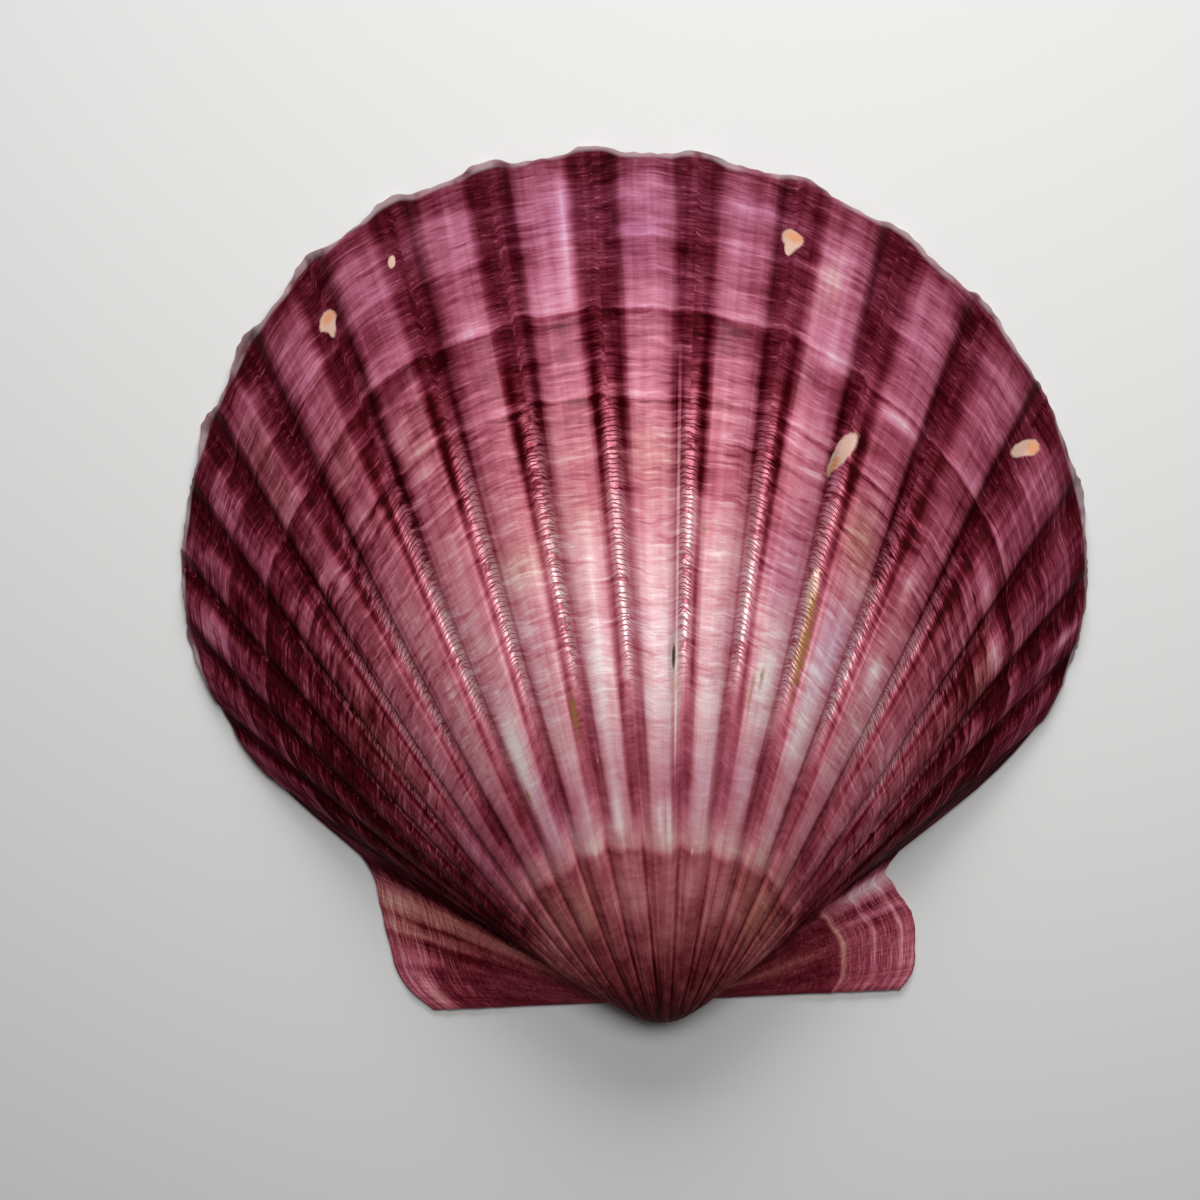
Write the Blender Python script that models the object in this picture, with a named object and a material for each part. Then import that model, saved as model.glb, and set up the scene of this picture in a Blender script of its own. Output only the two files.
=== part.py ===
"""Bay scallop shell: one loose valve, lying on its rim with the domed outside up.

Metres, +Z up. The valve grows from its beak by one rule: each growth line is
the rim's outline, made smaller and swung up about the hinge line.
The origin is on the table, under the middle of the valve's outline.
"""
import bmesh
import bpy
import numpy as np

MM = 0.001

# Growth: the outline shrinks by exp(-COIL * angle) while it swings up by angle.
COIL = 1.5
# The valve's middle line bows sideways by this much, half way to the beak.
SIDE_BOW = -0.28 * MM
EDGE_THICKNESS = 0.75 * MM
HINGE_PLATE_WIDTH = 2.0 * MM
RIM_INSET = 1.25 * MM

# Rim outline seen from above: direction from the beak in degrees (0 is straight
# ahead, positive to the right), and distance from the beak in millimetres.
OUTLINE = (
    (-90, 19.6), (-87, 21.0), (-83, 22.5), (-76, 24.0), (-69, 25.7), (-64, 27.4),
    (-62, 29.0), (-60, 33.5), (-58, 38.5), (-54, 45.8), (-48, 53.2), (-42, 58.6),
    (-34, 64.3), (-26, 69.2), (-18, 72.4), (-8, 73.6), (2, 73.4), (12, 71.7),
    (22, 68.4), (32, 63.4), (40, 57.9), (46, 52.9), (50, 48.9), (54, 43.8),
    (57, 38.3), (59, 31.5), (60.3, 24.5), (61.5, 22.8), (66, 22.3), (74, 22.7),
    (81, 22.1), (86, 21.6), (90, 20.3),
)
VALVE_LENGTH = 73.5 * MM

# Middle line of each rib at the rim, in degrees from straight ahead.
RIBS = (
    -56.6, -52.4, -47.6, -43.1, -38.2, -33.0, -26.8, -19.9, -13.1, -6.0,
    1.3, 8.6, 16.0, 23.7, 31.2, 38.6, 45.2, 50.4, 54.7,
)
# Towards the beak the ribs spread sideways, by this share of their direction,
# fading out at the two creases where the disc meets the ears.
MIDDLE_RIB = 1.3
SPREAD_LEFT, CREASE_LEFT = 0.11, -62.5
SPREAD_RIGHT, CREASE_RIGHT = 0.05, 60.5
RIB_HEIGHT_PER_PITCH = 0.155
RIB_SET_BACK = 0.021
# Cross-section of a rib: place across one pitch, and share of the full height.
RIB_SECTION = ((-0.34, 0.0), (-0.21, 0.82), (0.0, 1.0), (0.21, 0.82), (0.34, 0.0))
INSIDE_FOLD = 0.85
INSIDE_FOLD_START = 0.35

EAR_COLUMNS_LEFT = (-90.0, -87.0, -83.0, -78.0, -72.0, -67.0, -63.5, -61.5, -60.0)
EAR_COLUMNS_RIGHT = (57.2, 58.6, 59.8, 60.8, 63.0, 68.0, 74.0, 80.0, 85.0, 90.0)

# Growth stages that carry a row of points, as shares of the full size.
STAGES = (
    0.0, 0.03, 0.07, 0.12, 0.18, 0.24, 0.31, 0.38, 0.46, 0.54, 0.62, 0.70,
    0.78, 0.86, 0.93, 1.0,
)


def curve_through(points, where):
    """Smooth cubic curve through hand-placed points, read at every value of where."""
    place, value = np.array(points, dtype=float).T
    slope = np.gradient(value, place)
    low = np.clip(np.searchsorted(place, where) - 1, 0, len(place) - 2)
    width = place[low + 1] - place[low]
    t = (where - place[low]) / width
    start = (1 + 2 * t) * (1 - t) ** 2 * value[low] + t * (1 - t) ** 2 * width * slope[low]
    end = t**2 * (3 - 2 * t) * value[low + 1] + t**2 * (t - 1) * width * slope[low + 1]
    return start + end


def columns():
    """Directions of the grid's columns, with each one's rib height at the rim."""
    middles = np.array(RIBS)
    pitches = np.gradient(middles)
    directions = list(EAR_COLUMNS_LEFT)
    heights = [0.0] * len(directions)
    for middle, pitch in zip(middles, pitches):
        radius = curve_through(OUTLINE, middle) * MM
        full = RIB_HEIGHT_PER_PITCH * np.radians(pitch) * radius
        for place, share in RIB_SECTION:
            directions.append(middle + place * pitch)
            heights.append(share * full)
    directions += EAR_COLUMNS_RIGHT
    heights += [0.0] * len(EAR_COLUMNS_RIGHT)
    return np.array(directions), np.array(heights)


def spread(direction, stage):
    """Directions of rib lines at a growth stage: the ribs fan out towards the beak."""
    away = direction - MIDDLE_RIB
    left = away < 0
    share = np.where(left, SPREAD_LEFT, SPREAD_RIGHT)
    reach = np.where(left, MIDDLE_RIB - CREASE_LEFT, CREASE_RIGHT - MIDDLE_RIB)
    fade = np.clip(1 - (away / reach) ** 6, 0, 1)
    return direction + share * away * fade * (1 - stage)


def grown(outline_x, outline_y, stage):
    """Outline points at a growth stage: shrunk to it, then swung up about the hinge."""
    swing = -np.log(np.maximum(stage, 1e-9)) / COIL
    x = stage * outline_x + SIDE_BOW * 4 * stage * (1 - stage)
    y = stage * outline_y * np.cos(swing)
    z = stage * outline_y * np.sin(swing)
    return np.stack([x, y, z], axis=-1)


def outward(outline_x, outline_y, stage):
    """Unit normals of the grown surface, from small steps along and across it."""
    across = np.gradient(grown(outline_x, outline_y, stage), axis=1)
    step = 1e-4
    along = grown(outline_x, outline_y, stage + step) - grown(outline_x, outline_y, stage)
    normal = np.cross(along, across)
    return -normal / np.maximum(np.linalg.norm(normal, axis=-1, keepdims=True), 1e-12)


def skin(directions, heights, plate, inset, smooth_until):
    """A ribbed skin: the grown surface, raised along its normal where a rib runs.

    The hinge side is moved in by plate, and the rest of the outline by inset.
    Up to the growth stage smooth_until there are no ribs; then they grow in.
    """
    stage, height = np.meshgrid(np.array(STAGES), heights, indexing="ij")
    direction = spread(np.broadcast_to(directions, stage.shape), stage)
    radius = curve_through(OUTLINE, direction) * MM
    outline_x = radius * np.sin(np.radians(direction))
    outline_y = radius * np.cos(np.radians(direction)) * (1 - plate / VALVE_LENGTH)
    shrink = 1 - inset / np.hypot(outline_x, outline_y)
    shape = (outline_x * shrink, outline_y * shrink)
    set_back = stage * (1 - RIB_SET_BACK * height / heights.max())
    grown_in = (stage - smooth_until) / (1 - smooth_until)
    relief = height * np.minimum(stage, np.maximum(grown_in, 0))
    points = grown(*shape, set_back)
    points += outward(*shape, stage) * relief[..., None]
    points[..., 1] += plate
    return points


def grid_mesh(bm, points):
    """Lay a grid over an array of points and merge its first row at the beak."""
    rows, cols = points.shape[:2]
    made = bmesh.ops.create_grid(bm, x_segments=rows - 1, y_segments=cols - 1, size=0.5)
    for vert in made["verts"]:
        row = round((vert.co.x + 0.5) * (rows - 1))
        col = round((vert.co.y + 0.5) * (cols - 1))
        vert.co = points[row, col]
    return made["verts"]


def build_valve():
    """Outer and inner skins, joined by the rim's edge and the flat hinge plate."""
    directions, heights = columns()
    outer = skin(directions, heights, 0.0, 0.0, 0.0)
    outer[..., 2] += EDGE_THICKNESS
    folds = heights * INSIDE_FOLD
    inner = skin(directions, folds, HINGE_PLATE_WIDTH, RIM_INSET, INSIDE_FOLD_START)

    bm = bmesh.new()
    grid_mesh(bm, outer)
    bmesh.ops.remove_doubles(bm, verts=bm.verts, dist=1e-6)
    rim = [edge for edge in bm.edges if edge.is_boundary]
    edge_wall = bmesh.ops.extrude_edge_only(bm, edges=rim)["geom"]
    lower = [item for item in edge_wall if isinstance(item, bmesh.types.BMVert)]
    bmesh.ops.translate(bm, verts=lower, vec=(0, 0, -EDGE_THICKNESS))
    lower_rim = [edge for edge in bm.edges if edge.is_boundary]

    inner_verts = grid_mesh(bm, inner)
    bmesh.ops.remove_doubles(bm, verts=inner_verts, dist=1e-6)
    inner_rim = [edge for edge in bm.edges if edge.is_boundary and edge not in set(lower_rim)]
    bmesh.ops.bridge_loops(bm, edges=lower_rim + inner_rim)
    bmesh.ops.triangulate(bm, faces=bm.faces)
    bmesh.ops.recalc_face_normals(bm, faces=bm.faces)

    corners = np.array([vert.co for vert in bm.verts])
    middle = (corners.min(axis=0) + corners.max(axis=0)) / 2
    bmesh.ops.translate(bm, verts=bm.verts, vec=(-middle[0], -middle[1], -corners[:, 2].min()))
    mesh = bpy.data.meshes.new("valve")
    bm.to_mesh(mesh)
    bm.free()
    return mesh


def shell_material():
    """Glossy, warm brown shell."""
    material = bpy.data.materials.new("shell")
    material.use_nodes = True
    principled = material.node_tree.nodes["Principled BSDF"]
    principled.inputs["Base Color"].default_value = (0.19, 0.075, 0.055, 1.0)
    principled.inputs["Roughness"].default_value = 0.4
    principled.inputs["Metallic"].default_value = 0.0
    return material


for old in list(bpy.data.objects):
    bpy.data.objects.remove(old, do_unlink=True)

collection = bpy.data.collections.new("bay_scallop_shell")
bpy.context.scene.collection.children.link(collection)
valve = bpy.data.objects.new("valve", build_valve())
valve.data.materials.append(shell_material())
valve.data.shade_smooth()
valve.data.set_sharp_from_angle(angle=np.radians(40))
collection.objects.link(valve)
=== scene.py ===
"""Looks of the bay scallop shell: one loose valve lying domed side up on a pale table."""

import bpy
import numpy as np
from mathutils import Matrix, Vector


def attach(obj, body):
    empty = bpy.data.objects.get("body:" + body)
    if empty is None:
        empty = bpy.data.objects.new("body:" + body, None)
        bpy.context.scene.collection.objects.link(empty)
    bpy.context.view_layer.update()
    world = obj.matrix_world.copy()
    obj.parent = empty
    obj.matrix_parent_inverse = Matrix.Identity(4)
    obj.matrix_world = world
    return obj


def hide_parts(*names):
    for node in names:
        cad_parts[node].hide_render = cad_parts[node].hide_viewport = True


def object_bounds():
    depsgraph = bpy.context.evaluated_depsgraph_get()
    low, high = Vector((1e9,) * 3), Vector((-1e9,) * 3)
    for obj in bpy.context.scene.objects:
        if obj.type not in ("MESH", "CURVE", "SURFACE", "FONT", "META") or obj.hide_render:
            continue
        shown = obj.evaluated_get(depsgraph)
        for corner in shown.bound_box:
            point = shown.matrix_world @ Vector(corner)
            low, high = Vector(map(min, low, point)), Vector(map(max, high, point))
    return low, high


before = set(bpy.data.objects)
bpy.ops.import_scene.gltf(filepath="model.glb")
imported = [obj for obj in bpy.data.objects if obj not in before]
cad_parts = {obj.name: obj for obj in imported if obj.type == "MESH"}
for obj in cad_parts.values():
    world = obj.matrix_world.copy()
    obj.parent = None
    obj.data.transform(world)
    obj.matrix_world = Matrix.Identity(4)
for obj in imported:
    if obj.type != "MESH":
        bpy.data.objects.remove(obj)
cad_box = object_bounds()

# The valve: one half of a bay scallop, grown in a single piece of calcite. Each growth
# line is the rim's outline made smaller and swung up about the hinge, so the shell is
# one curved sheet with rounded ribs, two ears beside the beak and a hollow underside.
MM = 0.001
BEAK = np.array((0.834, -36.023, 0.0)) * MM
COIL = 1.5
SIDE_BOW = -0.28 * MM
VALVE_LENGTH = 73.5 * MM
EDGE_THICKNESS = 0.75 * MM
HINGE_PLATE_WIDTH = 2.0 * MM
RIM_INSET = 1.25 * MM
# The outline seen from above: direction from the beak in degrees, where 0 is
# straight ahead and right is positive, and distance in millimetres.
OUTLINE = (
    (-90, 19.6), (-87, 21.0), (-83, 22.5), (-76, 24.0), (-69, 25.7), (-64, 27.4),
    (-62, 29.0), (-60, 33.5), (-58, 38.5), (-54, 45.8), (-48, 53.2), (-42, 58.6),
    (-34, 64.3), (-26, 69.2), (-18, 72.4), (-8, 73.6), (2, 73.4), (12, 71.7),
    (22, 68.4), (32, 63.4), (40, 57.9), (46, 52.9), (50, 48.9), (54, 43.8),
    (57, 38.3), (59, 31.5), (60.3, 24.5), (61.5, 22.8), (66, 22.3), (74, 22.7),
    (81, 22.1), (86, 21.6), (90, 20.3),
)
# Each rib's number, counted from the one nearest the middle, and its direction.
RIBS = (
    (-10, -56.6), (-9, -52.4), (-8, -47.6), (-7, -43.1), (-6, -38.2), (-5, -33.0),
    (-4, -26.8), (-3, -19.9), (-2, -13.1), (-1, -6.0), (0, 1.3), (1, 8.6),
    (2, 16.0), (3, 23.7), (4, 31.2), (5, 38.6), (6, 45.2), (7, 50.4), (8, 54.7),
)
FIRST_GROOVE, LAST_GROOVE = -10.45, 8.45
EAR_PITCH = 4.0
MIDDLE_RIB = 1.3
SPREAD_LEFT, CREASE_LEFT = 0.11, -62.5
SPREAD_RIGHT, CREASE_RIGHT = 0.05, 60.5
RIB_HEIGHT_PER_PITCH = 0.155
TALLEST_RIB = 1.43 * MM
RIB_SET_BACK = 0.021
# Half a rib's width as a share of its pitch, at growth stages from 0 to 1.
RIB_WIDTH = ((0.0, 0.35), (0.45, 0.375), (0.62, 0.375), (0.75, 0.35), (0.9, 0.325), (1.0, 0.315))
INSIDE_FOLD = 0.8
INSIDE_FOLD_START = 0.35


def curve_through(points, where):
    """Smooth cubic through given points: each stretch is a cubic whose end
    slopes are the slopes between the neighbouring points."""
    place, value = np.array(points, dtype=float).T
    slope = np.gradient(value, place)
    low = np.clip(np.searchsorted(place, where) - 1, 0, len(place) - 2)
    width = place[low + 1] - place[low]
    t = (where - place[low]) / width
    start = (1 + 2 * t) * (1 - t) ** 2 * value[low] + t * (1 - t) ** 2 * width * slope[low]
    end = t**2 * (3 - 2 * t) * value[low + 1] + t**2 * (t - 1) * width * slope[low + 1]
    return start + end


def smooth_step(low, high, value):
    """0 below low, 1 above high, and between them three squares less two cubes."""
    t = np.clip((value - low) / (high - low), 0, 1)
    return t * t * (3 - 2 * t)


def rib_to_direction(rib):
    """Direction in degrees of a rib number: the measured ribs with a smooth curve
    between them, and on the ears a fixed number of degrees for each unit."""
    inside = np.clip(rib, FIRST_GROOVE, LAST_GROOVE)
    return curve_through(RIBS, inside) + EAR_PITCH * (rib - inside)


def fanned(direction, stage):
    """Direction of a rib line at a growth stage: towards the beak it moves out by a
    share of its angle from the middle rib, and by nothing at the two creases."""
    away = direction - MIDDLE_RIB
    left = away < 0
    share = np.where(left, SPREAD_LEFT, SPREAD_RIGHT)
    reach = np.where(left, MIDDLE_RIB - CREASE_LEFT, CREASE_RIGHT - MIDDLE_RIB)
    return direction + share * away * np.clip(1 - (away / reach) ** 6, 0, 1) * (1 - stage)


def grown(flat_x, flat_y, stage):
    """Points of the outline at a growth stage: scaled by the stage, then turned up
    about the hinge by minus the stage's logarithm over the coil."""
    swing = -np.log(np.maximum(stage, 1e-9)) / COIL
    x = stage * flat_x + SIDE_BOW * 4 * stage * (1 - stage)
    y = stage * flat_y * np.cos(swing)
    z = stage * flat_y * np.sin(swing)
    return np.stack([x, y, z], axis=-1)


def rib_section(rib, stage):
    """Height of the ribs as a share of the full height: flat-topped with steep sides,
    falling off as the square of the distance from the rib's middle."""
    place = rib - np.round(rib)
    half = curve_through(RIB_WIDTH, stage)
    soft = 1 + 0.7 * np.exp(-(((stage - 0.38) / 0.09) ** 2))
    side = 1 - smooth_step(half - 0.105 * soft, half + 0.095 * soft, np.abs(place))
    crown = 1 - 0.17 * (place / 0.3) ** 2
    on_disc = (rib > FIRST_GROOVE) & (rib < LAST_GROOVE)
    return np.where(on_disc, side * crown, 0)


def waviness(rib, stage, seed):
    """A slow, irregular wave between minus one and one: three sines across the ribs
    whose phases drift with the stage."""
    first = np.sin(rib * 1.7 + stage * 9 + seed)
    second = np.sin(rib * 3.9 - stage * 14 + 2.3 * seed)
    third = np.sin(rib * 8.3 + stage * 23 + 4.1 * seed)
    return (first + 0.6 * second + 0.4 * third) / 2


def ellipse(rib, stage, mark_rib, mark_stage, half_rib, half_stage, slant=0.0):
    """Squared distance from a mark's middle, counted in the mark's own half sizes,
    with the mark leaning sideways by slant ribs for each unit of stage."""
    across = (rib - mark_rib - slant * (stage - mark_stage)) / half_rib
    along = (stage - mark_stage) / half_stage
    return across**2 + along**2


def wandering(rib, stage):
    """How far a growth line strays from the outline's shape, in stages: a slow wave,
    a quick one, and a small jump from each rib to the next."""
    slow = 0.004 * waviness(rib, 0.4 * stage, 3.0)
    own = 0.006 * waviness(np.clip(np.round(rib), -10, 8) * 2.3, 0.6 * stage, 2.2)
    quick = 0.0006 * np.sin(rib * 13 + 2 * np.sin(rib * 5))
    return (slow + own + quick) * smooth_step(0.1, 0.3, stage)


# Growth steps, where the shell stopped growing for a while: stage, drop in
# millimetres, and how far back the lip before the drop starts to rise.
GROWTH_STEPS = (
    (0.813, 0.15, 0.030), (0.722, 0.12, 0.022), (0.889, 0.06, 0.020), (0.702, 0.05, 0.010),
    (0.681, 0.05, 0.010), (0.661, 0.04, 0.010), (0.937, 0.05, 0.015), (0.288, 0.10, 0.020),
    (0.205, 0.04, 0.015), (0.968, 0.05, 0.012),
)


def growth_relief(rib, stage):
    """Height in millimetres of the growth steps: before each step the surface rises
    as an exponential, and at the step it drops back within a fifth of a millimetre."""
    height = np.zeros_like(stage)
    for place, drop, rise in GROWTH_STEPS:
        here = stage - place - wandering(rib, stage)
        before = np.exp(np.minimum(here, 0) / rise)
        height += drop * before * (1 - smooth_step(-0.001, 0.0035, here))
    return height


# One worn pit: rib, stage, half width in ribs, half length in stages.
PIT = (0.31, 0.473, 0.055, 0.016)
PIT_DEPTH = 0.35
# One thin thread that runs beside the middle rib.
THREAD_PLACE, THREAD_HEIGHT, THREAD_HALF_WIDTH = 0.36, 0.09, 0.022
# The skin is sunk a little, so that the steps' lips stand no higher than the solid.
SUNK_BY = 0.16


def outer_relief(rib, stage):
    """Height in millimetres of the fine sculpture on the domed side: growth steps,
    gentle swells along each rib, one extra thread beside the middle rib, one pit."""
    swell = 0.035 * waviness(rib * 0.5, stage * 4, 1.3) * rib_section(rib, stage)
    thread_run = smooth_step(0.33, 0.4, stage) * (1 - smooth_step(0.76, 0.86, stage))
    thread = THREAD_HEIGHT * np.exp(-(((rib - THREAD_PLACE) / THREAD_HALF_WIDTH) ** 2))
    pit = PIT_DEPTH * np.exp(-(ellipse(rib, stage, *PIT) ** 2))
    return growth_relief(rib, stage) - SUNK_BY + swell + thread * thread_run - pit


# On the ears: the rays' height and the steps' drop in millimetres, and the growth
# stages where the steps are.
RAY_HEIGHT, EAR_STEP_DROP = 0.09, 0.16
LEFT_EAR_STEPS, RIGHT_EAR_STEPS = (0.845, 0.95), (0.715, 0.84, 0.94)


def ear_relief(direction, stage):
    """Height in millimetres of the ears' sculpture: a few low rays from the beak,
    which are sines of the direction, and growth steps across them."""
    past_left = smooth_step(0, 3, CREASE_LEFT - direction)
    past_right = smooth_step(0, 3, direction - CREASE_RIGHT)
    height = RAY_HEIGHT * np.sin(np.radians(direction) * 58) * stage * (past_left + past_right)
    for side, places in ((past_left, LEFT_EAR_STEPS), (past_right, RIGHT_EAR_STEPS)):
        for place in places:
            here = stage - place - 0.012 * np.sin(np.radians(direction) * 9)
            before = np.exp(np.minimum(here, 0) / 0.05)
            height += EAR_STEP_DROP * side * before * (1 - smooth_step(-0.002, 0.008, here))
    return height


def skin(rib, stage, plate, inset, relief_mm, growing):
    """A skin of the valve at arrays of rib numbers and growth stages: the grown
    outline, set back at the ribs' ends, and raised along its normal by the rib
    height times growing plus the relief in millimetres."""
    direction = fanned(rib_to_direction(rib), stage)
    radius = curve_through(OUTLINE, direction) * MM
    flat_x = radius * np.sin(np.radians(direction))
    flat_y = radius * np.cos(np.radians(direction)) * (1 - plate / VALVE_LENGTH)
    shrink = 1 - inset / np.hypot(flat_x, flat_y)
    flat_x, flat_y = flat_x * shrink, flat_y * shrink
    pitch = np.gradient(rib_to_direction(rib), axis=1) / np.gradient(rib, axis=1)
    height = rib_section(rib, stage) * RIB_HEIGHT_PER_PITCH * np.radians(pitch) * radius
    points = grown(flat_x, flat_y, stage * (1 - RIB_SET_BACK * height / TALLEST_RIB))
    across = np.gradient(grown(flat_x, flat_y, stage), axis=1)
    along = grown(flat_x, flat_y, stage + 1e-4) - grown(flat_x, flat_y, stage)
    normal = np.cross(across, along)
    normal /= np.maximum(np.linalg.norm(normal, axis=-1, keepdims=True), 1e-12)
    points += normal * (height * growing + relief_mm * MM * stage)[..., None]
    points[..., 1] += plate
    return points


# Rows of points lie closer together where there is a growth step, and columns
# closer together on the steep sides of the ribs.
ROWS = 150
INSIDE_ROW_STEP = 3
fine = np.linspace(0, 1, 4001)
closeness = np.ones_like(fine)
for step_stage, _, _ in GROWTH_STEPS:
    closeness += 2.5 * np.exp(-(((fine - step_stage) / 0.009) ** 2))
row_count = np.concatenate([[0], np.cumsum(closeness[1:])])
# The domed skin stops this share short of the outline, where its edge rolls over.
EDGE_ROLL = 0.0018
stages = np.interp(np.linspace(0, row_count[-1], ROWS + 1), row_count, fine) * (1 - EDGE_ROLL)
across_rib = (-0.45, -0.42, -0.39, -0.36, -0.33, -0.29, -0.24, -0.18, -0.11, -0.04, 0.04,
              0.11, 0.18, 0.24, 0.29, 0.33, 0.36, 0.39, 0.42, 0.45, 0.5)
disc = np.concatenate([np.array(across_rib) + number for number, _ in RIBS])[:-1]
ear_share = np.linspace(0, 1, 27)[1:] ** 1.5
left_limit = FIRST_GROOVE - (90 + curve_through(RIBS, FIRST_GROOVE)) / EAR_PITCH
right_limit = LAST_GROOVE + (90 - curve_through(RIBS, LAST_GROOVE)) / EAR_PITCH
left_ear = disc[0] + (left_limit - disc[0]) * ear_share[::-1]
right_ear = disc[-1] + (right_limit - disc[-1]) * ear_share
columns = np.concatenate([left_ear, disc, right_ear])
END_ROLL = 0.1
rolled = columns.copy()
rolled[0] += END_ROLL
rolled[-1] -= END_ROLL

# The domed skin, and the outline that its edge rolls over.
rib, stage = np.meshgrid(rolled, stages)
relief = outer_relief(rib, stage) + ear_relief(rib_to_direction(rib), stage)
outer = skin(rib, stage, 0.0, 0.0, relief, stage)
outer[..., 2] += EDGE_THICKNESS


def around(grid):
    """The values of a grid along its open boundary: the rim from left to right, the
    right hinge line down to the beak, and the left hinge line back to the rim."""
    return np.concatenate([grid[-1], grid[-2::-1, -1], grid[1:-1, 0]])


edge_stages = stages / (1 - EDGE_ROLL)
edge_rib, edge_stage = np.meshgrid(columns, edge_stages)
edge_relief = outer_relief(edge_rib, edge_stage) + ear_relief(rib_to_direction(edge_rib), edge_stage)
rim = around(skin(edge_rib, edge_stage, 0.0, 0.0, edge_relief, edge_stage))
rim_rib, rim_stage = around(edge_rib), around(edge_stage)
# Thin lips that stand out at the ends of some grooves: rib number, half width
# in ribs, length in millimetres.
RIM_LIPS = (
    (-0.52, 0.07, 0.75), (-3.45, 0.22, 0.45), (-4.5, 0.25, 0.55), (-5.55, 0.25, 0.6),
    (-7.5, 0.3, 0.35), (-8.5, 0.25, 0.45), (5.45, 0.25, 0.45), (1.5, 0.18, 0.2),
    (-1.5, 0.2, 0.25), (-2.5, 0.2, 0.2), (2.5, 0.2, 0.15), (3.5, 0.25, 0.2),
    (6.5, 0.25, 0.25), (7.4, 0.25, 0.2),
)
# Between them the edge is finely ragged, by this much in millimetres.
RAGGED_EDGE = 0.06
lip = np.zeros_like(rim_rib)
for lip_rib, half_width, length in RIM_LIPS:
    lip += length * np.exp(-(((rim_rib - lip_rib) / half_width) ** 2)) * (rim_stage > 0.999)
ragged = RAGGED_EDGE * np.sin(rim_rib * 31 + 2 * np.sin(rim_rib * 7)) * (rim_stage > 0.999)
heading = np.roll(rim, -1, axis=0) - np.roll(rim, 1, axis=0)
outward = np.stack([-heading[:, 1], heading[:, 0], 0 * heading[:, 0]], axis=-1)
outward /= np.maximum(np.linalg.norm(outward, axis=1, keepdims=True), 1e-12)
rim += outward * ((lip + ragged) * MM)[:, None]
rim[:, 2] -= 0.3 * lip * MM

# The hollow skin, on every third row, and its own boundary at every row.
inside_growing = np.clip((edge_stage - INSIDE_FOLD_START) / (1 - INSIDE_FOLD_START), 0, 1) * INSIDE_FOLD
inner_fine = skin(edge_rib, edge_stage, HINGE_PLATE_WIDTH, RIM_INSET, 0 * edge_stage, inside_growing)
inner = inner_fine[::INSIDE_ROW_STEP]
inner_rim = around(inner_fine)

# The band between them runs over the edge and under it: how far in from the
# outline in millimetres, but at most half of the wall there, how high as a share
# of the edge, and on the underside the share of the way to the hollow. Below the
# beak the hinge plate has a small dent, which held the elastic pad of the hinge.
EDGE_PATH = ((0.03, 0.82), (0.0, 0.5), (0.07, 0.15), (0.2, 0.0))
UNDER_PATH = (0.25, 0.5, 0.75)
DENT_HALF_WIDTH, DENT_DEPTH = 1.7 * MM, 0.45 * MM
band = []
wall = np.maximum(np.sum((rim - inner_rim)[:, :2] * outward[:, :2], axis=1), 0.1 * MM)
for inward, height in EDGE_PATH:
    row = rim - outward * np.minimum(inward * MM, wall / 2)[:, None]
    row[:, 2] = np.maximum(rim[:, 2] + height * EDGE_THICKNESS, 0)
    band.append(row)
for share in UNDER_PATH:
    row = band[len(EDGE_PATH) - 1] * (1 - share) + inner_rim * share
    at_hinge = np.clip(1 - (row[:, 0] / DENT_HALF_WIDTH) ** 2, 0, 1) * (rim_stage < 0.2)
    row[:, 2] += DENT_DEPTH * at_hinge * np.sin(np.pi * min(1.0, share + 0.15))
    band.append(row)
band.append(inner_rim)
band = np.array(band)

# Number the points: the domed skin's beak and rows, the band, the hollow's rows.
row_total, column_total, around_total = ROWS, len(columns), len(rim)
outer_index = 1 + np.arange(row_total * column_total).reshape(row_total, column_total)
outer_index = np.vstack([np.zeros(column_total, dtype=int), outer_index])
first_band = 1 + row_total * column_total
band_index = first_band + np.arange(len(band) * around_total).reshape(len(band), around_total)
band_index = np.vstack([around(outer_index), band_index])
inner_rows = inner.shape[0] - 1
first_inner = band_index[-1].max() + 1
middle_index = first_inner + np.arange((inner_rows - 1) * (column_total - 2)).reshape(inner_rows - 1, -1)
beak_place = column_total + row_total - 1
inner_index = np.vstack([
    np.full(column_total - 2, band_index[-1, beak_place]), middle_index, band_index[-1, 1:column_total - 1],
])


def quads(index, flip):
    """Four-cornered faces between neighbouring rows and columns of a grid of point
    numbers, turned over if flip is set."""
    corners = [index[:-1, :-1], index[:-1, 1:], index[1:, 1:], index[1:, :-1]]
    if flip:
        corners.reverse()
    return np.stack(corners, axis=-1).reshape(-1, 4)


def fan(beak, row, flip):
    """Triangles from one point to every neighbouring pair in a row of points."""
    corners = [np.full(len(row) - 1, beak), row[1:], row[:-1]]
    if flip:
        corners.reverse()
    return np.stack(corners, axis=-1)


def zipper(fine_line, coarse_line, flip):
    """Triangles between a line of points and one with a third as many: each coarse
    stretch meets three fine ones. The two lines start at the same point."""
    f, c = fine_line, coarse_line
    triangles = np.concatenate([
        np.stack([f[3:-1:3], f[4::3], c[1:-1]], axis=-1),
        np.stack([f[1::3], c[1:], c[:-1]], axis=-1),
        np.stack([f[1::3], f[2::3], c[1:]], axis=-1),
        np.stack([f[2::3], f[3::3], c[1:]], axis=-1),
    ])
    return triangles[:, ::-1] if flip else triangles


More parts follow.
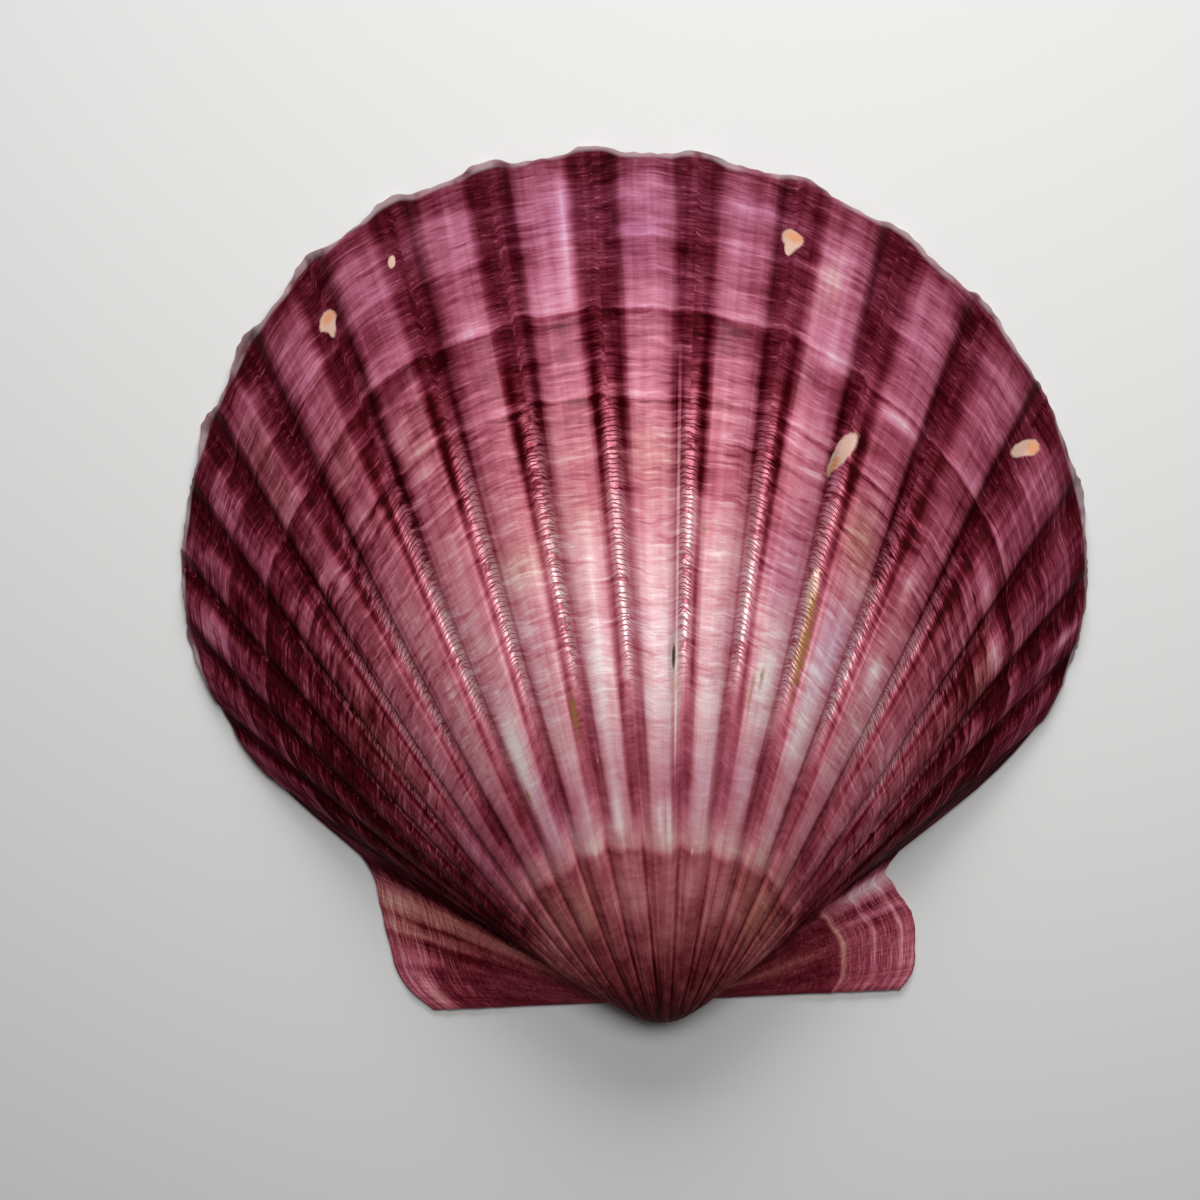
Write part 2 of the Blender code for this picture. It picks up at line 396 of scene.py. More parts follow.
closed_band = np.hstack([band_index, band_index[:, :1]])
left_fine = np.concatenate([band_index[-1, beak_place:], band_index[-1, :1]])
right_fine = band_index[-1, column_total - 1:beak_place + 1][::-1]
OUTSIDE_BANDS = 3
outside_faces = [
    fan(0, outer_index[1], False),
    quads(outer_index[1:], False),
    quads(closed_band[:OUTSIDE_BANDS + 1], False),
]
inside_faces = [
    quads(closed_band[OUTSIDE_BANDS:], False),
    fan(inner_index[0, 0], inner_index[1], True),
    quads(inner_index[1:], True),
    zipper(left_fine, inner_index[:, 0], False),
    zipper(right_fine, inner_index[:, -1], True),
]
outside_list = [face for array in outside_faces for face in array.tolist()]
inside_list = [face for array in inside_faces for face in array.tolist()]
points = np.vstack([
    outer[0, :1], outer[1:].reshape(-1, 3), band.reshape(-1, 3), inner[1:-1, 1:-1].reshape(-1, 3),
])
points += BEAK
points = np.clip(points, np.array(cad_box[0]), np.array(cad_box[1]))
valve_mesh = bpy.data.meshes.new("scallop_valve")
valve_mesh.from_pydata(points, [], outside_list + inside_list)


def on_every_point(outer_value, edge_value, inner_value):
    """One value for each point of the valve, from grids for the domed skin and for
    the hollow, and the edge's grid for the band between them."""
    band_value = np.tile(around(edge_value), len(band))
    return np.concatenate([
        outer_value[0, :1], outer_value[1:].ravel(), band_value, inner_value[1:-1, 1:-1].ravel(),
    ])


def every_point(rule):
    """Work out a rule of rib and stage at every point of the valve."""
    inner_rib, inner_stage = edge_rib[::INSIDE_ROW_STEP], edge_stage[::INSIDE_ROW_STEP]
    return on_every_point(rule(rib, stage), rule(edge_rib, edge_stage), rule(inner_rib, inner_stage))


# Colour laid down in the shell, from 0 for white to 1 for almost black maroon. It
# deepens from the middle rib to the flanks, and from the ribs into the grooves. The
# paler stages near the top of the dome, from about 0.4 to 0.6, are partly the shell's
# own colour and partly a painted highlight.
RIB_PIGMENT_AND_HIGHLIGHT = (
    (0.0, 0.93), (0.08, 0.90), (0.13, 0.76), (0.19, 0.69), (0.25, 0.53), (0.277, 0.53), (0.30, 0.45),
    (0.34, 0.41), (0.38, 0.37), (0.43, 0.32), (0.49, 0.35), (0.55, 0.36), (0.62, 0.47), (0.67, 0.54),
    (0.72, 0.61), (0.79, 0.63), (0.85, 0.63), (0.91, 0.66), (1.0, 0.71),
)
GROOVE_PIGMENT_AND_HIGHLIGHT = (
    (0.0, 0.94), (0.08, 0.92), (0.13, 0.82), (0.19, 0.68), (0.25, 0.57), (0.277, 0.57), (0.30, 0.46),
    (0.33, 0.62), (0.38, 0.70), (0.42, 0.62), (0.455, 0.42), (0.50, 0.31), (0.58, 0.33), (0.67, 0.55),
    (0.72, 0.72), (0.79, 0.84), (0.91, 0.87), (1.0, 0.86),
)
DARKEST_RIB, DARKEST_GROOVE = 0.96, 0.985
# Painted shade on the steep sides of the ribs: more on the sides that face the middle, less on the others.
INNER_SIDE_PAINTED_SHADE, OUTER_SIDE_PAINTED_SHADE = 0.38, 0.26
# How near the darkest colour each rib number comes, and how that changes with growth.
FLANK_SHARE = (
    (-19, 0.6), (-12, 0.94), (-9.5, 0.94), (-8, 0.89), (-5.5, 0.50), (-3.5, 0.17), (-1.5, 0.03),
    (0, 0.0), (1.5, 0.03), (3.5, 0.13), (5.5, 0.50), (7.5, 0.81), (9, 0.94), (17, 0.6),
)
FLANK_BY_STAGE = (
    (0.0, 0.3), (0.25, 0.35), (0.31, 1.1), (0.37, 1.05), (0.43, 0.95), (0.67, 1.0), (0.79, 0.92),
    (0.91, 0.68), (1.0, 0.62),
)
# Soft paler and darker places: rib, stage, half width in ribs, half length in
# stages, lean in ribs for each unit of stage, and how much colour is lost.
SOFT_PLACES = (
    (0.02, 0.50, 0.30, 0.11, 0.0, 0.10), (-1.05, 0.44, 0.14, 0.13, 0.0, 0.13),
    (-0.95, 0.52, 0.05, 0.06, 0.0, 0.12), (-0.83, 0.89, 0.05, 0.07, 0.0, 0.26),
    (1.05, 0.43, 0.22, 0.12, 0.0, 0.08), (2.02, 0.475, 0.18, 0.035, 0.0, 0.28),
    (3.0, 0.50, 0.22, 0.06, 0.0, 0.10), (2.95, 0.44, 0.13, 0.02, 0.0, 0.16),
    (-3.1, 0.415, 0.24, 0.05, 0.0, 0.30), (0.36, 0.42, 0.14, 0.05, 0.0, 0.34),
    (-5.9, 0.355, 0.75, 0.06, 0.0, 0.16), (0.62, 0.605, 0.10, 0.02, 0.0, 0.20),
    (5.2, 0.52, 0.16, 0.02, 0.0, 0.12), (5.4, 0.87, 0.5, 0.004, 0.0, 0.14),
    (0.0, 0.955, 0.22, 0.012, 0.0, 0.12), (0.0, 0.345, 0.5, 0.02, 0.0, -0.06),
    (-1.08, 0.318, 0.16, 0.028, 0.0, 0.33), (-0.02, 0.318, 0.09, 0.024, 0.0, 0.28),
    (0.22, 0.320, 0.08, 0.030, 0.0, 0.31),
    (-2.9, 0.325, 0.25, 0.025, 0.0, 0.12), (-1.9, 0.293, 0.22, 0.007, 0.0, 0.16),
    (1.0, 0.315, 0.30, 0.025, 0.0, 0.08), (2.0, 0.300, 0.30, 0.020, 0.0, 0.08),
    (-4.9, 0.300, 0.30, 0.010, 0.0, 0.12), (1.9, 0.905, 0.13, 0.030, 0.0, 0.28),
    (2.1, 0.805, 0.30, 0.008, 0.0, 0.30), (3.0, 0.797, 0.30, 0.008, 0.0, 0.40),
    (5.1, 0.768, 0.35, 0.012, 0.0, 0.36), (5.9, 0.768, 0.30, 0.020, 0.0, 0.34),
    (-8.8, 0.985, 0.40, 0.020, 0.0, 0.16), (-7.2, 0.985, 0.25, 0.015, 0.0, 0.14),
    (-8.0, 0.93, 0.20, 0.050, 0.0, 0.10), (6.9, 0.95, 0.12, 0.030, 0.0, 0.30),
    (7.4, 0.92, 0.14, 0.012, 0.0, 0.20), (4.0, 0.56, 0.14, 0.018, 0.0, 0.32),
    (3.9, 0.66, 0.07, 0.020, 0.0, 0.24), (-3.15, 0.745, 0.15, 0.012, 0.0, 0.20),
    (-3.0, 0.705, 0.12, 0.010, 0.0, 0.18), (-2.0, 0.818, 0.10, 0.010, 0.0, 0.16),
    (-5.6, 0.735, 1.8, 0.004, 0.0, 0.14), (-4.8, 0.71, 0.25, 0.010, 0.0, 0.16),
)
# Half the width of the pale band along each rib, as a share of the pitch.
LIGHT_HALF_WIDTH = (
    (0.0, 0.28), (0.3, 0.25), (0.37, 0.24), (0.45, 0.27), (0.62, 0.275), (0.72, 0.275), (0.8, 0.285),
    (1.0, 0.28),
)


# The colour on a rib's top is a little older than in the groove beside it.
COLOUR_LAG = 0.010


def seen_growth(rib, stage):
    """The growth stage whose colour shows at a point: a little behind on the ribs,
    and straying as the growth lines do."""
    return stage * (1 - COLOUR_LAG * rib_section(rib, stage)) - wandering(rib, stage)


def soft_places(rib, stage, places):
    """Sum of soft places: each is its strength times a bell of the squared distance."""
    total = np.zeros_like(stage)
    for *place, strength in places:
        total += strength * np.exp(-ellipse(rib, stage, *place))
    return total


def in_ear(rib):
    """1 on the ears and 0 on the disc, with a smooth rise past each crease."""
    direction = rib_to_direction(rib)
    return smooth_step(0, 2.5, CREASE_LEFT - direction) + smooth_step(0, 2, direction - CREASE_RIGHT)


# Pale and dark rays and growth lines on the ears, in the same form as SOFT_PLACES.
EAR_PLACES = (
    (-12.5, 0.72, 0.80, 0.40, 0.0, 0.24), (-13.3, 0.80, 0.16, 0.30, 0.0, -0.18),
    (-13.8, 0.80, 0.25, 0.22, 0.0, 0.16), (-14.4, 0.76, 0.20, 0.30, 0.0, -0.14),
    (-15.0, 0.90, 0.40, 0.10, 0.0, 0.12), (-16.6, 0.93, 1.20, 0.060, 0.0, 0.08),
    (-17.3, 0.900, 1.00, 0.026, 0.0, 0.28), (-15.5, 0.957, 3.00, 0.007, 0.0, 0.22),
    (-15.5, 0.45, 1.50, 0.20, 0.0, 0.05), (-17.4, 0.30, 0.90, 0.12, 0.0, 0.10),
    (10.1, 0.92, 0.60, 0.15, 0.0, 0.46), (11.15, 0.87, 0.25, 0.12, 0.0, -0.18),
    (11.7, 0.88, 0.25, 0.12, 0.0, 0.14), (12.3, 0.90, 0.28, 0.09, 0.0, -0.15),
    (13.0, 0.42, 0.60, 0.25, 0.0, 0.14), (11.3, 0.50, 0.50, 0.30, 0.0, -0.05),
    (14.8, 0.55, 0.50, 0.30, 0.0, -0.06), (13.0, 0.722, 4.00, 0.010, 0.0, 0.26),
    (13.0, 0.843, 4.00, 0.007, 0.0, 0.28), (13.0, 0.945, 4.00, 0.009, 0.0, 0.28),
    (15.0, 0.985, 3.00, 0.020, 0.0, 0.10),
)


def ear_pigment(rib, stage):
    """Depth of colour on the ears: dark red, and paler outside each ear's growth
    step, which wanders a little, then changed by soft places."""
    wander = 0.007 * waviness(rib * 3.1, 0 * stage, 5.0)
    right_step = smooth_step(0.706, 0.714, stage + wander)
    left_step = smooth_step(0.842, 0.852, stage + wander - 0.006 * np.maximum(-rib - 13.5, 0))
    depth = np.where(rib > 0, 0.80 - 0.10 * right_step, 0.82 - 0.09 * left_step)
    return depth - soft_places(rib, stage, EAR_PLACES)


# Growth stage of the edge of the older, browner shell around the beak.
CAP_EDGE = 0.29


def cap_stray(rib, stage):
    """How far the edge of the older shell around the beak strays, in stages: two
    sines of the rib number and a jump from rib to rib, within a bell around it."""
    stray = 0.006 * np.sin(rib * 11 + 3 * np.sin(rib * 2.3)) + 0.004 * np.sin(rib * 29)
    stray += 0.008 * waviness(np.round(rib) * 3.1, 0 * stage, 1.7)
    return stray * np.exp(-(((stage - CAP_EDGE) / 0.03) ** 2))


def pigment(rib, stage):
    """Depth of colour: rib and groove depths by stage, which near the top of the dome include a painted
    highlight, blended by the rib's section, then moved towards the darkest by the flank's share, darkened
    by painted shade on the steep rib sides and in the crease at each rib's left foot, and changed by soft
    places."""
    number = np.round(rib)
    offset = rib - number
    place = np.abs(offset)
    seen = seen_growth(rib, stage) + cap_stray(rib, stage)
    half = curve_through(LIGHT_HALF_WIDTH, seen)
    blur = 0.025 + 0.025 * smooth_step(0.42, 0.55, seen)
    on_rib = 1 - smooth_step(half - blur, half + blur, place)
    flank = curve_through(FLANK_SHARE, rib) * curve_through(FLANK_BY_STAGE, seen)
    rib_depth = curve_through(RIB_PIGMENT_AND_HIGHLIGHT, seen) + 0.06 * (place / 0.3) ** 2
    rib_depth += (DARKEST_RIB - rib_depth) * np.clip(flank, 0, 1)
    groove_depth = curve_through(GROOVE_PIGMENT_AND_HIGHLIGHT, seen)
    steeper = smooth_step(0.35, 0.43, seen) * (1 - smooth_step(0.68, 0.76, seen))
    groove_flank = flank * (0.8 + 0.35 * smooth_step(0.7, 0.78, seen)) * (1 - steeper)
    groove_flank += flank**2 * steeper
    groove_depth += (DARKEST_GROOVE - groove_depth) * np.clip(groove_flank, 0, 1)
    depth = groove_depth + (rib_depth - groove_depth) * on_rib
    # Painted shade along the steep rib sides, in the middle growth stages.
    side = np.exp(-(((place - half - 0.07) / 0.055) ** 2))
    side *= smooth_step(0.40, 0.48, seen) * (1 - smooth_step(0.70, 0.80, seen))
    depth += np.where(offset * number < 0, INNER_SIDE_PAINTED_SHADE, OUTER_SIDE_PAINTED_SHADE) * side
    in_cap = 1 - smooth_step(0.26, 0.33, seen)
    groove_middle = np.exp(-(((0.5 - place) / 0.06) ** 2))
    rib_side = np.exp(-(((place - 0.36) / 0.04) ** 2))
    depth += (0.17 * groove_middle - 0.08 * rib_side) * in_cap
    # Painted shade: a thin darker line in the crease at the left foot of each rib, beyond the three middle
    # ribs.
    rib_foot = offset + half - 0.05
    depth += 0.07 * np.exp(-((rib_foot / 0.03) ** 2)) * (np.abs(rib) > 1.5)
    depth = np.minimum(depth, DARKEST_GROOVE)
    depth -= soft_places(rib, seen, SOFT_PLACES)
    return depth + (ear_pigment(rib, stage) - depth) * in_ear(rib)


# Marks with a clear edge: rib, stage, half width, half length, lean.
CREAM_MARKS = (
    (1.47, 0.923, 0.13, 0.013, 0.0), (1.45, 0.912, 0.06, 0.012, 0.0),
    (-3.50, 0.922, 0.13, 0.013, 0.0), (-3.49, 0.911, 0.06, 0.012, 0.0),
    (4.57, 0.927, 0.085, 0.030, 4.2), (2.46, 0.724, 0.12, 0.033, 4.2),
    (-2.63, 0.93, 0.05, 0.008, 0.0),
    (2.53, 0.578, 0.09, 0.026, 0.0), (0.34, 0.445, 0.05, 0.012, 0.0), (-1.35, 0.38, 0.03, 0.006, 0.0),
    (6.0, 0.342, 0.22, 0.003, 0.01), (0.9, 0.292, 0.04, 0.005, 2.0),
)
ORANGE_MARKS = (
    (1.49, 0.926, 0.13, 0.009, 0.0), (4.66, 0.942, 0.09, 0.018, 4.2), (-3.48, 0.925, 0.13, 0.009, 0.0),
    (2.40, 0.707, 0.08, 0.014, 4.2),
)
OLIVE_MARKS = (
    (2.60, 0.52, 0.13, 0.080, 0.0), (2.58, 0.56, 0.10, 0.026, 0.0), (1.97, 0.475, 0.07, 0.018, 0.0),
    (-3.2, 0.375, 0.08, 0.012, 0.0), (-2.85, 0.37, 0.06, 0.010, 0.0), (-1.65, 0.425, 0.09, 0.032, 0.0),
    (0.74, 0.60, 0.05, 0.012, 0.0), (0.31, 0.484, 0.04, 0.010, 0.0), (1.8, 0.46, 0.06, 0.03, 0.0),
)


def marks(rib, stage, places):
    """How deep inside the nearest mark a point is: one less its distance from the
    middle in half sizes, and not below minus one."""
    depth = np.full_like(stage, -1.0)
    for place in places:
        depth = np.maximum(depth, 1 - np.sqrt(ellipse(rib, stage, *place)))
    return depth


# Places with a warm beige tint (share above zero) or a cool lilac one (below zero).
TINT_PLACES = (
    (-1.5, 0.68, 1.3, 0.05, 0.0, 0.35), (-2.0, 0.58, 0.5, 0.04, 0.0, 0.35),
    (-0.05, 0.66, 0.4, 0.04, 0.0, 0.40), (-5.0, 0.88, 0.35, 0.07, 0.0, 0.70),
    (-4.0, 0.78, 0.3, 0.05, 0.0, 0.60), (-3.0, 0.73, 0.35, 0.05, 0.0, 0.50),
    (5.7, 0.75, 0.8, 0.03, 0.0, 0.70), (3.0, 0.655, 0.3, 0.05, 0.0, 0.80),
    (6.2, 0.70, 0.5, 0.15, 0.0, 0.50), (4.0, 0.25, 2.0, 0.06, 0.0, 0.60),
    (-3.5, 0.25, 1.5, 0.05, 0.0, 0.40), (1.9, 0.905, 0.2, 0.05, 0.0, 0.80),
    (-7.1, 0.62, 0.5, 0.10, 0.0, 0.50), (-6.2, 0.55, 0.4, 0.12, 0.0, 0.50),
    (3.0, 0.55, 0.35, 0.06, 0.0, -0.70), (2.0, 0.60, 0.35, 0.08, 0.0, -0.50),
    (-6.0, 0.38, 0.9, 0.07, 0.0, -0.60), (0.0, 0.93, 3.0, 0.06, 0.0, -0.45),
    (-2.9, 0.34, 1.2, 0.05, 0.0, -0.40), (1.5, 0.37, 1.5, 0.05, 0.0, -0.35),
    (-12.6, 0.70, 1.1, 0.50, 0.0, 1.00), (-14.0, 0.82, 1.0, 0.20, 0.0, 0.70),
    (-17.2, 0.90, 1.0, 0.04, 0.0, 0.60), (13.0, 0.42, 0.8, 0.28, 0.0, 1.00),
    (12.0, 0.30, 2.0, 0.20, 0.0, 0.40), (-11.6, 0.55, 0.8, 0.30, 0.0, 0.60),
    (13.0, 0.722, 5.0, 0.014, 0.0, 0.90), (13.0, 0.90, 5.0, 0.10, 0.0, -0.15),
    (-16.5, 0.95, 2.0, 0.06, 0.0, -0.15),
)
attributes = {
    "rib": every_point(lambda r, s: r),
    "growth": every_point(seen_growth),
    "scale_line": every_point(lambda r, s: s - 0.003 * waviness(r * 1.5, s, 0.7)),
    "crown": every_point(rib_section),
    "pigment": every_point(pigment),
    "tint": every_point(lambda r, s: np.clip(soft_places(r, s, TINT_PLACES), -1, 1)),
    "flank": every_point(lambda r, s: np.clip(curve_through(FLANK_SHARE, r), 0, 1)),
    "cream": every_point(lambda r, s: marks(r, s, CREAM_MARKS)),
    "orange": every_point(lambda r, s: marks(r, s, ORANGE_MARKS)),
    "olive": every_point(lambda r, s: marks(r, s, OLIVE_MARKS)),
    "ear": every_point(lambda r, s: in_ear(r)),
}
is_edge = np.zeros(len(points))
is_edge[first_band:first_band + OUTSIDE_BANDS * around_total] = 1
attributes["edge"] = is_edge
for name, values in attributes.items():
    layer = valve_mesh.attributes.new(name, "FLOAT", "POINT")
    layer.data.foreach_set("value", values.astype(np.float32))
valve_mesh.polygons.foreach_set(
    "material_index", [0] * len(outside_list) + [1] * len(inside_list))
valve_mesh.shade_smooth()


class Signal:
    """A socket in a material; arithmetic on it adds Math nodes to that material."""

    tree = None

    def __init__(self, socket):
        self.socket = socket

    @classmethod
    def node(cls, kind, settings=None, inputs=None, output=0):
        """Add a node: its settings first, then its sockets, and return its output."""
        made = cls.tree.nodes.new(kind)
        for name, value in (settings or {}).items():
            if name == "stops":
                for place, colour in value[1:-1]:
                    made.color_ramp.elements.new(place).color = colour
                for element, (place, colour) in zip(made.color_ramp.elements, value):
                    element.position, element.color = place, colour
            else:
                setattr(made, name, value)
        for name, value in (inputs or {}).items():
            if isinstance(value, Signal):
                cls.tree.links.new(value.socket, made.inputs[name])
            else:
                made.inputs[name].default_value = value
        return cls(made.outputs[output])

    def sum_with(self, operation, first, second):
        return self.node("ShaderNodeMath", {"operation": operation}, {0: first, 1: second})

    def __add__(self, other):
        return self.sum_with("ADD", self, other)

    def __sub__(self, other):
        return self.sum_with("SUBTRACT", self, other)

    def __rsub__(self, other):
        return self.sum_with("SUBTRACT", other, self)

    def __mul__(self, other):
        return self.sum_with("MULTIPLY", self, other)

    __radd__ = __add__
    __rmul__ = __mul__

    def step(self, low, high):
        """0 below low and 1 above high, with a smooth rise between them."""
        limits = {"Value": self, "From Min": low, "From Max": high}
        return self.node("ShaderNodeMapRange", {"interpolation_type": "SMOOTHSTEP"}, limits)

    def ramp(self, stops):
        """Colour read off a row of stops at this number."""
        return self.node("ShaderNodeValToRGB", {"stops": stops}, {"Fac": self})


def attribute(name):
    """A number stored at the valve's points."""
    return Signal.node("ShaderNodeAttribute", {"attribute_name": name}, output="Fac")


def blend(share, first, second, kind="MIX"):
    """Blend two colours by a share."""
    settings = {"data_type": "RGBA", "blend_type": kind}
    return Signal.node("ShaderNodeMix", settings, {0: share, 6: first, 7: second}, output=2)


def noise(x, y, detail=2.0, roughness=0.5):
    """Cloudy noise between 0 and 1 over two coordinates, with a grain of one unit."""
    place = Signal.node("ShaderNodeCombineXYZ", inputs={"X": x, "Y": y})
    values = {"Vector": place, "Scale": 1.0, "Detail": detail, "Roughness": roughness}
    return Signal.node("ShaderNodeTexNoise", {"noise_dimensions": "2D"}, values)


def raised(height):
    """Surface direction over a low relief given in millimetres."""
    values = {"Strength": 1.0, "Distance": MM, "Height": height}
    return Signal.node("ShaderNodeBump", inputs=values, output="Normal")


def screen_colour(red, green, blue):
    """A colour given as on a screen, 0 to 255, turned into the light it stands for."""
    value = np.array((red, green, blue)) / 255
    light = np.where(value <= 0.04045, value / 12.92, ((value + 0.055) / 1.055) ** 2.4)
    return (*light.tolist(), 1.0)


def new_material(name):
    """A material with its nodes on, whose tree takes the nodes that follow."""
    material = bpy.data.materials.new(name)
    material.use_nodes = True
    Signal.tree = material.node_tree
    return material, material.node_tree.nodes["Principled BSDF"]


def feed(surface, signals):
    """Link each signal to the surface's socket of that name."""
    for name, signal in signals.items():
        Signal.tree.links.new(signal.socket, surface.inputs[name])


# The outside of the valve: calcite coloured through in growth lines, dull on the
# ribs and polished in the grooves, where low scales cross from rib to rib.
outside, surface = new_material("scallop_outside")
rib_number, growth, crown = attribute("rib"), attribute("growth"), attribute("crown")
ear, edge = attribute("ear"), attribute("edge")
flank = attribute("flank")
scale_line = attribute("scale_line")
groove = (1 - crown.step(0.05, 0.45)) * (1 - ear)

# Growth lines of several widths. Each rib draws its own stretch of noise, so that
# the fine lines break off at its sides, and the broad ones and the clouds run on.
whole_rib = Signal.node("ShaderNodeMath", {"operation": "ROUND"}, {0: rib_number})
own_place = rib_number + whole_rib * 7.3
fine_lines = noise(own_place * 3.2, growth * 330, 2.0, 0.6)
thin_lines = noise(own_place * 2.0 + 10, growth * 170, 2.0, 0.5).step(0.56, 0.68)
dark_lines = noise(own_place * 1.6 + 33, growth * 125, 2.0, 0.5).step(0.58, 0.66)
# Painted glints: short pale strokes, used only in the dark grooves near the rim.
painted_glints = noise(own_place * 7 + 70, growth * 330, 1.0, 0.5).step(0.66, 0.78)
broad_lines = noise(rib_number * 1.1 + 40, growth * 62, 3.0, 0.55)
clouds = noise(rib_number * 1.4 + 80, growth * 12, 3.0, 0.6)
rays = noise(rib_number * 8 + 20, growth * 5, 2.0, 0.6)
grain = noise(rib_number * 26, growth * 420, 2.0, 0.7)
own_blotches = noise(whole_rib * 5.3 + 0.5 * rib_number, growth * 17 + 0.6 * clouds, 3.0, 0.55)

# The scales in the grooves are long cells across the groove, with thin dark gaps.
scale_place = Signal.node("ShaderNodeCombineXYZ", inputs={
    "X": rib_number * 1.6 + 0.5 * broad_lines,
    "Y": scale_line * 205 + 3.0 * clouds,
})
scale_edge = Signal.node(
    "ShaderNodeTexVoronoi",
    {"voronoi_dimensions": "2D", "feature": "DISTANCE_TO_EDGE"},
    {"Vector": scale_place, "Scale": 1.0, "Randomness": 0.8},
)
scales = scale_edge.step(0.0, 0.16)
scale_run = growth.step(0.42, 0.50) * (1 - 0.85 * growth.step(0.66, 0.76))

# Bands where growth slowed down: above GREY the colour is deeper by that much.
band_place = growth + 0.004 * (broad_lines - 0.5) + 0.003 * (noise(own_place * 5, growth * 9) - 0.5)
GREY = 0.5


def grey(level):
    """A grey ramp colour."""
    return (level, level, level, 1.0)


bands = band_place.ramp((
    (0.0, grey(0.5)), (0.270, grey(0.54)), (0.286, grey(0.60)), (0.291, grey(0.42)),
    (0.32, grey(0.5)), (0.640, grey(0.51)), (0.659, grey(0.55)), (0.661, grey(0.42)),
    (0.671, grey(0.50)), (0.680, grey(0.54)), (0.682, grey(0.41)), (0.691, grey(0.50)),
    (0.7015, grey(0.55)), (0.7035, grey(0.40)), (0.713, grey(0.50)), (0.7215, grey(0.60)),
    (0.7230, grey(0.26)), (0.728, grey(0.42)), (0.75, grey(0.51)), (0.79, grey(0.55)),
    (0.8115, grey(0.62)), (0.8130, grey(0.23)), (0.818, grey(0.40)), (0.85, grey(0.5)),
    (0.8875, grey(0.53)), (0.8895, grey(0.41)), (0.91, grey(0.49)), (0.932, grey(0.45)),
    (0.945, grey(0.45)), (0.952, grey(0.52)), (0.985, grey(0.56)), (1.0, grey(0.5)),
))

# Depth of colour: what the points carry, with its painted shade and highlight, plus the lines, clouds, rays
# and bands, and painted glints in the grooves.
depth = attribute("pigment")
out_of_cap = growth.step(0.36, 0.50)
line_strength = (1 - ear) * (0.3 + 0.7 * out_of_cap) * (1 - 0.45 * growth.step(0.72, 0.85))
line_strength = line_strength + 0.6 * flank
depth = depth + 0.20 * (fine_lines - 0.5) * (0.45 + 0.55 * out_of_cap)
depth = depth + 0.16 * (broad_lines - 0.5) + 0.20 * (clouds - 0.5)
depth = depth + 0.20 * (rays - 0.5) + 0.07 * (grain - 0.5)
depth = depth + (0.08 * dark_lines - 0.10 * thin_lines) * line_strength
thread_across = (rib_number - THREAD_PLACE) * 34
thread_run = growth.step(0.33, 0.40) * (1 - growth.step(0.72, 0.80))
thread = (1 - thread_across * thread_across).step(0.0, 0.8) * thread_run
# The thread is paler, and painted glints lighten the grooves near the rim.
depth = depth - 0.26 * thread - 0.12 * painted_glints * groove * growth.step(0.72, 0.80)
depth = depth + 0.32 * (own_blotches - 0.5) * (1 - 0.6 * groove) * (1 - ear)
depth = depth + (bands - GREY) * (1 - 0.4 * groove) * (1 - ear)
depth = depth + 0.26 * groove * scale_run * (1 - scales)
ear_lines = noise(rib_number * 0.5 + 30, scale_line * 150, 1.0, 0.5).step(0.54, 0.68)
ear_lines = ear_lines * ear * growth.step(0.705, 0.73)
cap_rays = noise(rib_number * 13 + 5, growth * 14, 2.0, 0.6).step(0.56, 0.72)
cap_rays = cap_rays * (1 - growth.step(0.22, 0.31)) * (1 - ear)
depth = depth - 0.14 * ear_lines - 0.09 * cap_rays

# Colour: from white over rose to a dark maroon, browner at the beak and more lilac
# at the rim, with warm and cool tints, and the marks laid over it.
colour = depth.ramp((
    (0.0, screen_colour(246, 236, 232)), (0.16, screen_colour(240, 214, 218)),
    (0.27, screen_colour(230, 184, 192)), (0.38, screen_colour(216, 156, 167)),
    (0.48, screen_colour(203, 128, 142)), (0.57, screen_colour(188, 104, 122)),
    (0.67, screen_colour(162, 78, 94)), (0.75, screen_colour(134, 54, 68)),
    (0.83, screen_colour(106, 32, 46)), (0.91, screen_colour(80, 12, 23)),
    (0.97, screen_colour(62, 5, 11)), (1.0, screen_colour(48, 2, 7)),
))
hue = growth.ramp((
    (0.0, (1.0, 1.0, 0.72, 1.0)), (0.27, (1.0, 0.98, 0.80, 1.0)), (0.32, (1.0, 0.98, 0.95, 1.0)),
    (0.62, (1.0, 1.0, 0.97, 1.0)), (0.74, (1.0, 0.98, 1.06, 1.0)), (0.86, (0.97, 1.08, 1.22, 1.0)),
    (1.0, (0.93, 1.16, 1.24, 1.0)),
))
EAR_RED, BEIGE, LILAC = (1.10, 0.92, 0.90, 1.0), (0.95, 1.22, 0.84, 1.0), (0.98, 1.10, 1.30, 1.0)
colour = blend(1.0 - 0.8 * ear, colour, hue, "MULTIPLY")
colour = blend(ear * 0.8, colour, EAR_RED, "MULTIPLY")
warm = attribute("tint") + 0.9 * (noise(own_place * 0.8 + 60, growth * 11, 2.0, 0.5) - 0.5)
colour = blend(warm.step(0.0, 1.0), colour, BEIGE, "MULTIPLY")
colour = blend((0.0 - warm).step(0.0, 1.0), colour, LILAC, "MULTIPLY")
ragged_edge = 0.3 * (noise(rib_number * 9, growth * 120, 3.0, 0.6) - 0.5)
cream = (attribute("cream") + ragged_edge).step(0.02, 0.30)
orange = (attribute("orange") + ragged_edge).step(0.0, 0.6)
olive = (attribute("olive") + 3.0 * ragged_edge).step(0.0, 0.9)
colour = blend(cream * 0.85, colour, screen_colour(228, 190, 172))
colour = blend(orange * cream * 0.8, colour, screen_colour(218, 146, 98))
colour = blend(olive * 0.8, colour, screen_colour(146, 112, 54))
pit_across, pit_along = (rib_number - PIT[0]) * 26, (growth - PIT[1]) * 75
pit_distance = pit_across * pit_across + pit_along * pit_along + 0.5 * ragged_edge
colour = blend(0.5 - 0.5 * pit_distance.step(0.8, 5.0), colour, screen_colour(206, 200, 186))
